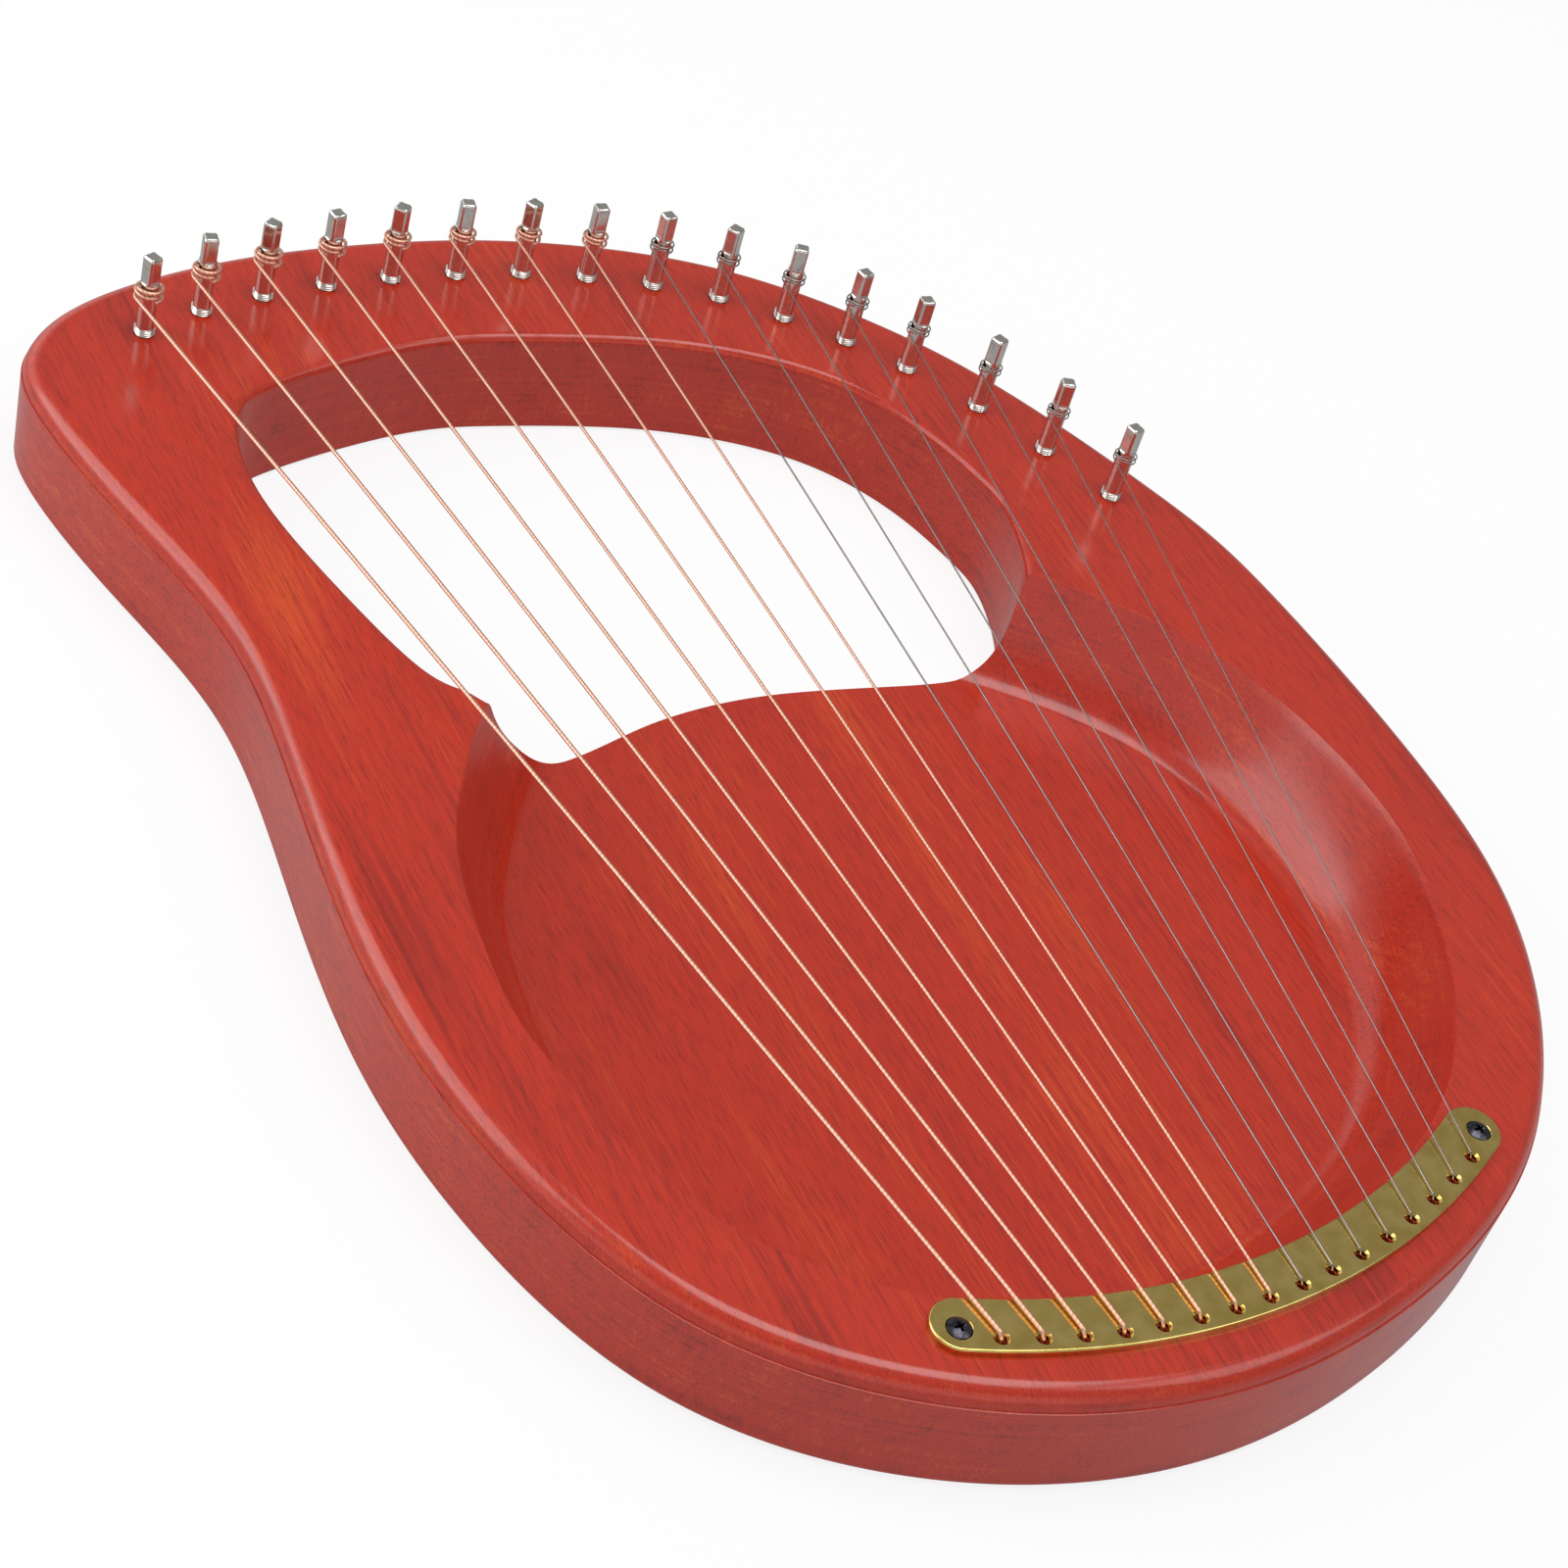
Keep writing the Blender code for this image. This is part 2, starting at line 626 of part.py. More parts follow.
def main():
    """Build every piece of the instrument."""
    clear_scene()
    plan = Layout()
    mahogany = finish_material("lacquered_mahogany", (0.54, 0.08, 0.035), 0.35)
    brass = finish_material("polished_brass", (0.60, 0.47, 0.20), 0.25, 1.0)
    nickel = finish_material("nickel_plated_steel", (0.72, 0.70, 0.67), 0.18, 1.0)
    black = finish_material("blackened_steel", (0.02, 0.02, 0.022), 0.35, 1.0)
    bronze = finish_material("bronze_wound_string", (0.86, 0.53, 0.38), 0.35, 1.0)
    plain = finish_material("plain_steel_string", (0.78, 0.76, 0.74), 0.25, 1.0)

    build_body(plan, mahogany)
    build_plate(plan, brass)
    for name, (x, y) in zip(("plate_screw_bass", "plate_screw_treble"), plan.screws):
        build_screw(name, plan, x, y, black)
    for index in range(STRING_COUNT):
        wire = bronze if index < WOUND_STRINGS else plain
        eye_angle, gap = build_string(index, plan, wire)
        x, y = plan.pins[index]
        build_pin(f"tuning_pin_{index + 1:02d}", plan, x, y, eye_angle, nickel)
        print(f"winding {index + 1:02d}: least gap to itself {gap / MM:.2f} mm")


main()
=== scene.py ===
"""Looks of a sixteen-string lyre harp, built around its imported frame, in metres.

X runs across the strings from bass to treble, Y from the tail to the yoke and Z
out of the face, as in the frame. Every piece stands where its frame node does.
"""

import json
import logging
import math
from dataclasses import dataclass, field
from enum import Enum
from typing import Any

import bmesh
import bpy
import numpy as np
from mathutils import Matrix

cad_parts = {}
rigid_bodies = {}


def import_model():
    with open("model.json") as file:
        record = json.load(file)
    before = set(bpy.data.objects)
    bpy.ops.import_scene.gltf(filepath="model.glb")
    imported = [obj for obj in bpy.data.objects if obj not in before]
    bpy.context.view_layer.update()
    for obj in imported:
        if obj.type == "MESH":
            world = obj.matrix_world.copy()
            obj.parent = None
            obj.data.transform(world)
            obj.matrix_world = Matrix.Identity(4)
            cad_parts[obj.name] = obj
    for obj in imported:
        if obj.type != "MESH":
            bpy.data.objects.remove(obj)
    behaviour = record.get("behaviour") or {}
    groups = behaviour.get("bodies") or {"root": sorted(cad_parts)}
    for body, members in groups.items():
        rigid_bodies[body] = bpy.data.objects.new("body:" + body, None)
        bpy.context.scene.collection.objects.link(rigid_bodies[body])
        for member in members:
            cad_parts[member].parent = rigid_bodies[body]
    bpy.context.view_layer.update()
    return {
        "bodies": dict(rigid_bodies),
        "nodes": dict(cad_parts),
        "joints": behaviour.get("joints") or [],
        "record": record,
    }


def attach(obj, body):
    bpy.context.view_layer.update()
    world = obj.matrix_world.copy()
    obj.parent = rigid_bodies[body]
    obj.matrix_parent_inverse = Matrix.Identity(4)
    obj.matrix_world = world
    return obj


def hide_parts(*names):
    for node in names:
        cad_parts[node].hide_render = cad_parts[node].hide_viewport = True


MM = 0.001
TURN = 2 * math.pi
STRING_COUNT = 16
WOUND_STRINGS = 8
GAP = 0.3 * MM
SHARP_ABOVE = math.radians(38)
WIRE_SHARP_ABOVE = math.radians(60)
PIN_BORE_SIDES = 32
BORE_SIDES = 24
PLATE_HOLE_SIDES = 40
WIRE_SIDES = 12
log = logging.getLogger("lyre")

# Closed outlines, clockwise from the yoke's left end, as shares of the body's
# width and length from its middle
OUTLINE = (
    (-0.411, 0.465), (-0.272, 0.494), (-0.111, 0.500), (0.027, 0.487),
    (0.182, 0.443), (0.308, 0.362), (0.393, 0.267), (0.461, 0.147),
    (0.491, 0.047), (0.500, -0.125), (0.463, -0.276), (0.333, -0.411),
    (0.138, -0.484), (-0.046, -0.500), (-0.223, -0.464), (-0.368, -0.377),
    (-0.441, -0.249), (-0.461, -0.121), (-0.447, 0.014), (-0.439, 0.141),
    (-0.474, 0.262), (-0.500, 0.371), (-0.480, 0.426),
)
WINDOW = (
    (-0.287, 0.358), (-0.159, 0.380), (-0.064, 0.379), (0.038, 0.366),
    (0.113, 0.349), (0.174, 0.326), (0.227, 0.292), (0.267, 0.241),
    (0.286, 0.190), (0.288, 0.148), (0.259, 0.0885), (0.219, 0.071),
    (0.162, 0.071), (0.035, 0.082), (-0.064, 0.0785), (-0.122, 0.068),
    (-0.182, 0.055), (-0.234, 0.050), (-0.2655, 0.048), (-0.2815, 0.0625),
    (-0.306, 0.086), (-0.336, 0.162), (-0.358, 0.257), (-0.343, 0.327),
)
# The dish's lip: inset and drop as shares of its size, and where the cove takes over
LIP_ROUND = ((-1.0, 0.0), (-0.2, 0.3), (0.35, 1.2))
LIP_DEPTH = 2.0
# Outline stations, counted in key points, along which the dish follows the rim
DISH_RIM_STATIONS = (9.0, 9.9, 10.8, 11.6, 12.4, 13.2, 14.0, 14.8, 15.5, 16.2)
DISH_TOP = (
    (-0.3785, -0.157), (-0.366, -0.084), (-0.340, -0.028), (-0.2995, 0.022),
    (-0.270, 0.0515), (-0.205, 0.105), (-0.010, 0.190), (0.190, 0.130),
    (0.273, 0.085), (0.372, 0.003),
)


class Slot(Enum):
    """The record's material slots."""

    WOOD = "wood"
    BRASS = "brass"
    BLACK = "black_steel"
    PIN = "pin_steel"
    BRONZE = "bronze_string"
    STEEL = "steel_string"


def linear(colour: str) -> tuple[float, float, float, float]:
    """Turn an sRGB hex colour into a linear one.

    Args:
        colour: Six hex digits, such as "c45f5c".

    Returns:
        Red, green, blue and an alpha of 1.
    """
    shares = [int(colour[i:i + 2], 16) / 255 for i in (0, 2, 4)]
    curve = [s / 12.92 if s <= 0.04045 else ((s + 0.055) / 1.055) ** 2.4 for s in shares]
    return (*curve, 1.0)


def add_node(tree: bpy.types.NodeTree, kind: str, links: dict[Any, Any] | None = None,
             **settings: Any) -> bpy.types.Node:
    """Add one shader node, set it and link it.

    Args:
        tree: The node tree to add to.
        kind: Blender's name of the node type.
        links: Input name or index to an output socket, or to a plain value.
        settings: Properties of the node itself.

    Returns:
        The new node.
    """
    node = tree.nodes.new(kind)
    for key, value in settings.items():
        setattr(node, key, value)
    for key, value in (links or {}).items():
        if isinstance(value, bpy.types.NodeSocket):
            tree.links.new(value, node.inputs[key])
        else:
            node.inputs[key].default_value = value
    return node


def ramp_stops(node: bpy.types.Node, stops: list[tuple[float, str]]) -> bpy.types.NodeSocket:
    """Set a colour ramp's stops from sRGB hex colours.

    Args:
        node: A colour ramp node.
        stops: Places from 0 to 1, each with its colour.

    Returns:
        The ramp's colour output.
    """
    elements = node.color_ramp.elements
    while len(elements) < len(stops):
        elements.new(0.5)
    for element, (place, colour) in zip(elements, stops):
        element.position = place
        element.color = linear(colour)
    return node.outputs["Color"]


def principled(name: str, **inputs: float) -> tuple[bpy.types.Material, bpy.types.Node]:
    """Make a material with one Principled shader and its fixed values.

    Args:
        name: The material's name.
        inputs: Socket names, with _ for a space, and their values.

    Returns:
        The material and its shader node.
    """
    material = bpy.data.materials.new(name)
    material.use_nodes = True
    shader = material.node_tree.nodes["Principled BSDF"]
    for key, value in inputs.items():
        shader.inputs[key.replace("_", " ")].default_value = value
    return material, shader


@dataclass(frozen=True)
class LacqueredMahogany:
    """Mahogany stained red under sprayed clear lacquer.

    The eye sees long soft streaks along the strings, short dark pores in them, flat
    growth layers across the end grain, and an even gloss that blurs reflections.
    """

    dark: str = "981c0c"
    middle: str = "be2a0d"
    light: str = "d24a12"
    pore_shade: str = "72140a"
    band_width: float = 14 * MM
    band_length: float = 220 * MM
    streak_width: float = 1.1 * MM
    streak_length: float = 70 * MM
    layer_height: float = 1.1 * MM
    layer_reach: float = 120 * MM
    pore_width: float = 0.26 * MM
    pore_length: float = 7.0 * MM
    lacquer_ripple: float = 2.2 * MM

    def stretched(self, tree: bpy.types.NodeTree, place: bpy.types.NodeSocket,
                  size: tuple[float, float, float], detail: float,
                  rough: float = 0.55) -> bpy.types.NodeSocket:
        """Noise whose blobs have the given size along X, Y and Z.

        Args:
            tree: The material's node tree.
            place: Object coordinates.
            size: Blob size along each axis, in metres.
            detail: Octaves of finer noise.
            rough: How strong each finer octave is.

        Returns:
            The noise's factor.
        """
        scaled = add_node(tree, "ShaderNodeMapping", {
            "Vector": place, "Scale": tuple(1 / s for s in size),
        }).outputs["Vector"]
        noise = add_node(tree, "ShaderNodeTexNoise", {
            "Vector": scaled, "Scale": 1.0, "Detail": detail, "Roughness": rough,
            "Distortion": 0.25,
        })
        return noise.outputs["Fac"]

    def material(self) -> bpy.types.Material:
        """Mix bands, streaks and pores into the colour; pores and ripple into the bump."""
        material, shader = principled(
            "lacquered_mahogany", Roughness=0.45, Coat_Weight=0.8, Coat_Roughness=0.18,
            Coat_IOR=1.6, Specular_IOR_Level=0.2,
        )
        tree = material.node_tree
        place = add_node(tree, "ShaderNodeTexCoord").outputs["Object"]
        bands = self.stretched(
            tree, place, (self.band_width, self.band_length, self.band_width), 2.0)
        streaks = self.stretched(
            tree, place, (self.streak_width, self.streak_length, self.layer_height * 3), 3.0)
        layers = self.stretched(
            tree, place, (self.layer_reach, self.layer_reach, self.layer_height), 2.0)
        pores = self.stretched(
            tree, place, (self.pore_width, self.pore_length, self.pore_width * 2), 1.0)
        long = add_node(tree, "ShaderNodeMix", {0: 0.5, 2: bands, 3: streaks}).outputs[0]
        grain = add_node(tree, "ShaderNodeMix", {0: 0.35, 2: long, 3: layers}).outputs[0]
        colour = ramp_stops(
            add_node(tree, "ShaderNodeValToRGB", {"Fac": grain}),
            [(0.34, self.dark), (0.47, self.middle), (0.54, self.middle), (0.68, self.light)])
        pits = add_node(tree, "ShaderNodeMapRange", {
            "Value": pores, "From Min": 0.35, "From Max": 0.47, "To Min": 0.5, "To Max": 0.0,
        }).outputs["Result"]
        shaded = add_node(tree, "ShaderNodeMix", {
            0: pits, 6: colour, 7: linear(self.pore_shade),
        }, data_type="RGBA").outputs[2]
        tree.links.new(shaded, shader.inputs["Base Color"])
        ripple = add_node(tree, "ShaderNodeTexNoise", {
            "Vector": place, "Scale": 1 / self.lacquer_ripple, "Detail": 2.0,
        }).outputs["Fac"]
        low = add_node(tree, "ShaderNodeBump", {
            "Height": ripple, "Strength": 0.12, "Distance": 0.15 * MM})
        fine = add_node(tree, "ShaderNodeBump", {
            "Height": pores, "Strength": 0.25, "Distance": 0.05 * MM,
            "Normal": low.outputs["Normal"]})
        tree.links.new(fine.outputs["Normal"], shader.inputs["Normal"])
        tree.links.new(low.outputs["Normal"], shader.inputs["Coat Normal"])
        return material


@dataclass(frozen=True)
class WorkedMetal:
    """A bare or plated metal, whose fine finish varies its gloss and tone a little."""

    name: str
    colour: str
    shade: str
    roughness: float
    grit: float
    bump: float = 0.05

    def material(self) -> bpy.types.Material:
        """Noise at the grit's size mixes two near tones and drives a slight bump."""
        material, shader = principled(self.name, Metallic=1.0, Roughness=self.roughness)
        tree = material.node_tree
        place = add_node(tree, "ShaderNodeTexCoord").outputs["Object"]
        grit = add_node(tree, "ShaderNodeTexNoise", {
            "Vector": place, "Scale": 1 / self.grit, "Detail": 3.0}).outputs["Fac"]
        colour = ramp_stops(add_node(tree, "ShaderNodeValToRGB", {"Fac": grit}),
                            [(0.35, self.shade), (0.65, self.colour)])
        tree.links.new(colour, shader.inputs["Base Color"])
        bump = add_node(tree, "ShaderNodeBump", {
            "Height": grit, "Strength": self.bump, "Distance": 0.1 * MM})
        tree.links.new(bump.outputs["Normal"], shader.inputs["Normal"])
        return material


@dataclass(frozen=True)
class WoundWire:
    """Bronze wire wound on a steel core: close turns that catch light as fine ribs, with painted
    shade in the grooves between them.

    The real turns are 0.15 mm apart. They are drawn 1.2 mm apart, the finest that shows.
    """

    crest: str = "f4c4ae"
    painted_groove_shade: str = "e2a68c"
    pitch: float = 1.2 * MM

    def material(self) -> bpy.types.Material:
        """A sine along the wire's own length and round it gives each turn its rib, and darkens the
        colour in the grooves between turns as painted shade.
        """
        material, shader = principled("bronze_wound_wire", Metallic=1.0, Roughness=0.45)
        tree = material.node_tree
        uv = add_node(tree, "ShaderNodeTexCoord").outputs["UV"]
        split = add_node(tree, "ShaderNodeSeparateXYZ", {"Vector": uv})
        along = add_node(tree, "ShaderNodeMath", {
            0: split.outputs["X"], 1: 1 / self.pitch}, operation="MULTIPLY").outputs[0]
        turns = add_node(tree, "ShaderNodeMath", {
            0: along, 1: split.outputs["Y"]}, operation="ADD").outputs[0]
        phase = add_node(tree, "ShaderNodeMath", {0: turns, 1: TURN},
                         operation="MULTIPLY").outputs[0]
        wave = add_node(tree, "ShaderNodeMath", {0: phase}, operation="SINE").outputs[0]
        height = add_node(tree, "ShaderNodeMapRange", {
            "Value": wave, "From Min": -1.0, "From Max": 1.0}).outputs["Result"]
        # Painted shade: the groove colour darkens the dips between turns, where shade would fall.
        colour = ramp_stops(add_node(tree, "ShaderNodeValToRGB", {"Fac": height}),
                            [(0.0, self.painted_groove_shade), (0.6, self.crest)])
        tree.links.new(colour, shader.inputs["Base Color"])
        bump = add_node(tree, "ShaderNodeBump", {
            "Height": height, "Strength": 0.05, "Distance": 0.1 * MM})
        tree.links.new(bump.outputs["Normal"], shader.inputs["Normal"])
        return material


BRASS = WorkedMetal("polished_brass", "e6cc7e", "d4b866", 0.18, 5.0 * MM, 0.12)
NICKEL = WorkedMetal("nickel_plated_steel", "e2ded8", "d4cfc8", 0.12, 1.5 * MM, 0.02)
BLACK_STEEL = WorkedMetal("blackened_steel", "54545c", "3a3a40", 0.25, 0.8 * MM)
STEEL_WIRE = WorkedMetal("drawn_steel_wire", "a39b98", "968e8b", 0.25, 6.0 * MM, 0.0)


class ClosedSpline:
    """A smooth closed curve through key points, its second derivative continuous."""

    def __init__(self, points: np.ndarray) -> None:
        """Solve for the slopes that make the cubic pieces meet smoothly."""
        self.points = np.asarray(points, float)
        unit = np.eye(len(self.points))
        matrix = 4 * unit + np.roll(unit, 1, axis=0) + np.roll(unit, -1, axis=0)
        ahead = np.roll(self.points, -1, axis=0)
        behind = np.roll(self.points, 1, axis=0)
        self.slopes = np.linalg.solve(matrix, 3.0 * (ahead - behind))

    def at(self, station: np.ndarray) -> np.ndarray:
        """Point at a station, where 2.5 lies halfway from key 2 to key 3."""
        station = np.asarray(station, float) % len(self.points)
        start = np.floor(station).astype(int)
        end = (start + 1) % len(self.points)
        t = (station - start)[..., None]
        return (self.points[start] * (2 * t**3 - 3 * t**2 + 1)
                + self.slopes[start] * (t**3 - 2 * t**2 + t)
                + self.points[end] * (3 * t**2 - 2 * t**3)
                + self.slopes[end] * (t**3 - t**2))

    def inward(self, station: np.ndarray) -> np.ndarray:
        """Unit normal that points into a clockwise curve."""
        step = 0.001
        along = self.at(np.asarray(station) + step) - self.at(np.asarray(station) - step)
        along /= np.linalg.norm(along, axis=-1, keepdims=True)
        return np.stack([along[..., 1], -along[..., 0]], axis=-1)

    def inset(self, station: np.ndarray, distance: float) -> np.ndarray:
        """Point moved into the curve from its edge."""
        return self.at(station) + self.inward(station) * distance

    def swept(self, profile: np.ndarray, steps: int) -> np.ndarray:
        """Carry a profile round the curve.

        Each profile point (inset, height) gives one ring: the curve moved in by the
        inset, at that height.

        Args:
            profile: Rows of inset and height, from the bottom up.
            steps: Stations for each span between key points.

        Returns:
            A grid of points: profile row, station, coordinate.
        """
        stations = np.arange(len(self.points) * steps) / steps
        flat = self.at(stations) + self.inward(stations) * profile[:, :1, None]
        high = np.broadcast_to(profile[:, 1:, None], (*flat.shape[:2], 1))
        return np.concatenate([flat, high], axis=-1)


def arc_profile(centre: tuple[float, float], radius: float, start: float, stop: float,
                steps: int) -> np.ndarray:
    """Points on an arc from one angle to another, in degrees, as inset and height."""
    angle = np.radians(np.linspace(start, stop, steps + 1))
    return np.stack([centre[0] + radius * np.cos(angle), centre[1] + radius * np.sin(angle)],
                    axis=-1)


def turned(profile: np.ndarray, centre: np.ndarray, sides: int) -> np.ndarray:
    """Turn a profile of radius and height about a vertical axis.

    Returns:
        A grid of points: profile row, side, coordinate.
    """
    angle = np.arange(sides) * TURN / sides
    spokes = np.stack([np.cos(angle), np.sin(angle)], axis=-1)
    flat = centre[:2] + profile[:, :1, None] * spokes
    high = np.broadcast_to(profile[:, 1:, None], (*flat.shape[:2], 1))
    return np.concatenate([flat, high], axis=-1)


def grid_solid(grid: np.ndarray) -> tuple[np.ndarray, list[list[int]]]:
    """Close a grid of rings into a solid: quads between rings and a face on each end."""
    rings, count = grid.shape[:2]
    row = np.arange(rings - 1)[:, None] * count
    here = np.arange(count)[None]
    ahead = (here + 1) % count
    quads = np.stack([row + here, row + ahead, row + count + ahead, row + count + here],
                     axis=-1).reshape(-1, 4)
    last = (rings - 1) * count
    caps = [list(range(count))[::-1], list(range(last, last + count))]
    return grid.reshape(-1, 3), quads.tolist() + caps


def add_piece(name: str, solids: list[np.ndarray],
              material: bpy.types.Material | None = None) -> bpy.types.Object:
    """Put one or more closed grids into the scene as one object.

    Args:
        name: The piece's name.
        solids: Grids of rings, each of which becomes a closed solid.
        material: Its finish, or None for a cutter.

    Returns:
        The object, at the origin.
    """
    points: list[np.ndarray] = []
    faces: list[list[int]] = []
    start = 0
    for grid in solids:
        verts, polygons = grid_solid(grid)
        points.append(verts)
        faces += [[start + i for i in polygon] for polygon in polygons]
        start += len(verts)
    mesh = bpy.data.meshes.new(name)
    mesh.from_pydata(np.vstack(points).tolist(), [], faces)
    shape = bmesh.new()
    shape.from_mesh(mesh)
    bmesh.ops.recalc_face_normals(shape, faces=shape.faces)
    shape.to_mesh(mesh)
    shape.free()
    if material:
        mesh.materials.append(material)
    piece = bpy.data.objects.new(name, mesh)
    bpy.context.scene.collection.objects.link(piece)
    return piece


def carve(piece: bpy.types.Object, cutters: list[bpy.types.Object]) -> None:
    """Take cutters out of a piece, apply the result and remove the cutters."""
    for cutter in cutters:
        cutter.data.materials.clear()
        modifier = piece.modifiers.new(cutter.name, "BOOLEAN")
        modifier.operation = "DIFFERENCE"
        modifier.solver = "EXACT"
        modifier.object = cutter
    apply_modifiers(piece)
    for cutter in cutters:
        bpy.data.objects.remove(cutter, do_unlink=True)


def apply_modifiers(piece: bpy.types.Object) -> None:
    """Replace a piece's mesh by what its modifiers make of it."""
    bpy.context.view_layer.update()
    graph = bpy.context.evaluated_depsgraph_get()
    made = bpy.data.meshes.new_from_object(piece.evaluated_get(graph))
    piece.modifiers.clear()
    piece.data = made


def smooth(piece: bpy.types.Object) -> None:
    """Shade a piece smooth with its sharp edges kept and its flats held flat."""
    piece.data.shade_smooth()
    piece.data.set_sharp_from_angle(angle=SHARP_ABOVE)
    weighted = piece.modifiers.new("flat_faces_first", "WEIGHTED_NORMAL")
    weighted.keep_sharp = True
    apply_modifiers(piece)


def seat(piece: bpy.types.Object, body: str, slot: Slot, *nodes: str) -> None:
    """Ride a finished piece on its body, in place of its frame nodes."""
    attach(piece, body)
    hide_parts(*nodes)
    log.info("%s: %d faces, stands for %s", piece.name, len(piece.data.polygons),
             ", ".join(nodes))


@dataclass(frozen=True)
class Bore:
    """A round hole as a turned cutter."""

    radius: float
    low: float
    high: float

    def grid(self, centre: np.ndarray, sides: int) -> np.ndarray:
        """Cylinder of the bore's radius between its heights."""
        return turned(np.array([(self.radius, self.low), (self.radius, self.high)]), centre, sides)


@dataclass
class LyreBody:
    """One slab of wood with a hand window, a carved dish and its bores."""

    length: float = 420.0 * MM
    width: float = 313.6 * MM
    face: float = 32.0 * MM
    face_round: float = 5.0 * MM
    quirk: float = 0.4 * MM
    back_round: float = 2.0 * MM
    window_round: float = 2.5 * MM
    window_back_round: float = 1.0 * MM
    dish_floor: float = 4.0 * MM
    cove_width: float = 20.0 * MM
    dish_lip: float = 0.5 * MM
    rim_width: float = 24.2 * MM
    pin_bore: float = 2.8 * MM
    pin_depth: float = 15.3 * MM
    string_bore: float = 1.1 * MM
    ball_pocket: float = 3.0 * MM
    pocket_depth: float = 6.0 * MM
    screw_pilot: float = 1.6 * MM
    screw_depth: float = 12.3 * MM
    cove_steps: int = 24
    cove_crowding: float = 1.2
    round_steps: int = 10
    back_round_steps: int = 5
    window_round_steps: int = 8
    window_back_steps: int = 4
    span_steps: int = 20
    outline: ClosedSpline = field(init=False)
    window: ClosedSpline = field(init=False)
    dish: ClosedSpline = field(init=False)

    def __post_init__(self) -> None:
        """Draw the three outlines from the key points."""
        size = (self.width, self.length)
        self.outline = ClosedSpline(np.array(OUTLINE) * size)
        self.window = ClosedSpline(np.array(WINDOW) * size)
        rim = self.outline.inset(np.array(DISH_RIM_STATIONS), self.rim_width)
        self.dish = ClosedSpline(np.vstack([rim, np.array(DISH_TOP) * size]))

    def slab(self) -> np.ndarray:
        """Outer edge: a small round at the back, a straight side, a quirk, a big round."""
        back = arc_profile((self.back_round, self.back_round), self.back_round, -90, -180,
                           self.back_round_steps)
        under = self.face - self.face_round - self.quirk
        quirk = np.array([(0.0, under), (self.quirk, under + self.quirk * 0.2)])
        inner = self.quirk + self.face_round
        top = arc_profile((inner, self.face - self.face_round), self.face_round, 180, 90,
                          self.round_steps)
        return self.outline.swept(np.vstack([back, quirk, top]), self.span_steps)

    def window_cutter(self) -> np.ndarray:
        """Straight wall whose two edges flare out as quarter rounds."""
        low, high = self.window_back_round, self.window_round
        below = np.array([(-low, -GAP)])
        back = arc_profile((-low, low), low, -90, 0, self.window_back_steps)
        top = arc_profile((-high, self.face - high), high, 0, 90, self.window_round_steps)
        above = np.array([(-high, self.face + GAP)])
        return self.window.swept(np.vstack([below, back, top, above]), self.span_steps)

    def dish_cutter(self) -> np.ndarray:
        """Cove whose depth is the sine of a quarter turn across its width, under a lip.

        At an inset d the depth is (face - floor) sin(90 degrees d / width).
        """
        depth = self.face - self.dish_floor
        share = np.linspace(0.0, 1.0, self.cove_steps + 1) ** self.cove_crowding
        cove = np.stack([self.cove_width * share,
                         self.face - depth * np.sin(math.pi / 2 * share)], axis=-1)
        eased = np.array(LIP_ROUND) * self.dish_lip
        lip = np.column_stack([eased[:, 0], self.face - eased[:, 1]])
        start = np.array([(-self.dish_lip, self.face + GAP)])
        below = cove[:, 1] < self.face - LIP_DEPTH * self.dish_lip
        profile = np.vstack([start, lip, cove[below]])
        return self.dish.swept(profile, self.span_steps)

    def build(self, finish: bpy.types.Material, pins: np.ndarray, holes: np.ndarray,
              screws: np.ndarray) -> None:
        """Cut the slab and round the edges that the cuts leave.

        Args:
            finish: The lacquered wood.
            pins: Places of the tuning pins.
            holes: Places of the string holes.
            screws: Places of the plate's screws.
        """
        body = add_piece("lacquered_body", [self.slab()], finish)
        carve(body, [add_piece("window_cutter", [self.window_cutter()]),
                     add_piece("dish_cutter", [self.dish_cutter()])])
        pin = Bore(self.pin_bore, self.face - self.pin_depth, self.face + GAP)
        pocket = np.array([(self.ball_pocket, -GAP), (self.ball_pocket, self.pocket_depth),
                           (self.string_bore, self.pocket_depth),
                           (self.string_bore, self.face + GAP)])
        pilot = Bore(self.screw_pilot, self.face - self.screw_depth, self.face + GAP)
        carve(body, [
            add_piece("pin_bores", [pin.grid(p, PIN_BORE_SIDES) for p in pins]),
            add_piece("string_bores", [turned(pocket, p, BORE_SIDES) for p in holes]),
            add_piece("screw_pilots", [pilot.grid(p, BORE_SIDES) for p in screws]),
        ])
        smooth(body)
        seat(body, "root", Slot.WOOD, "body")


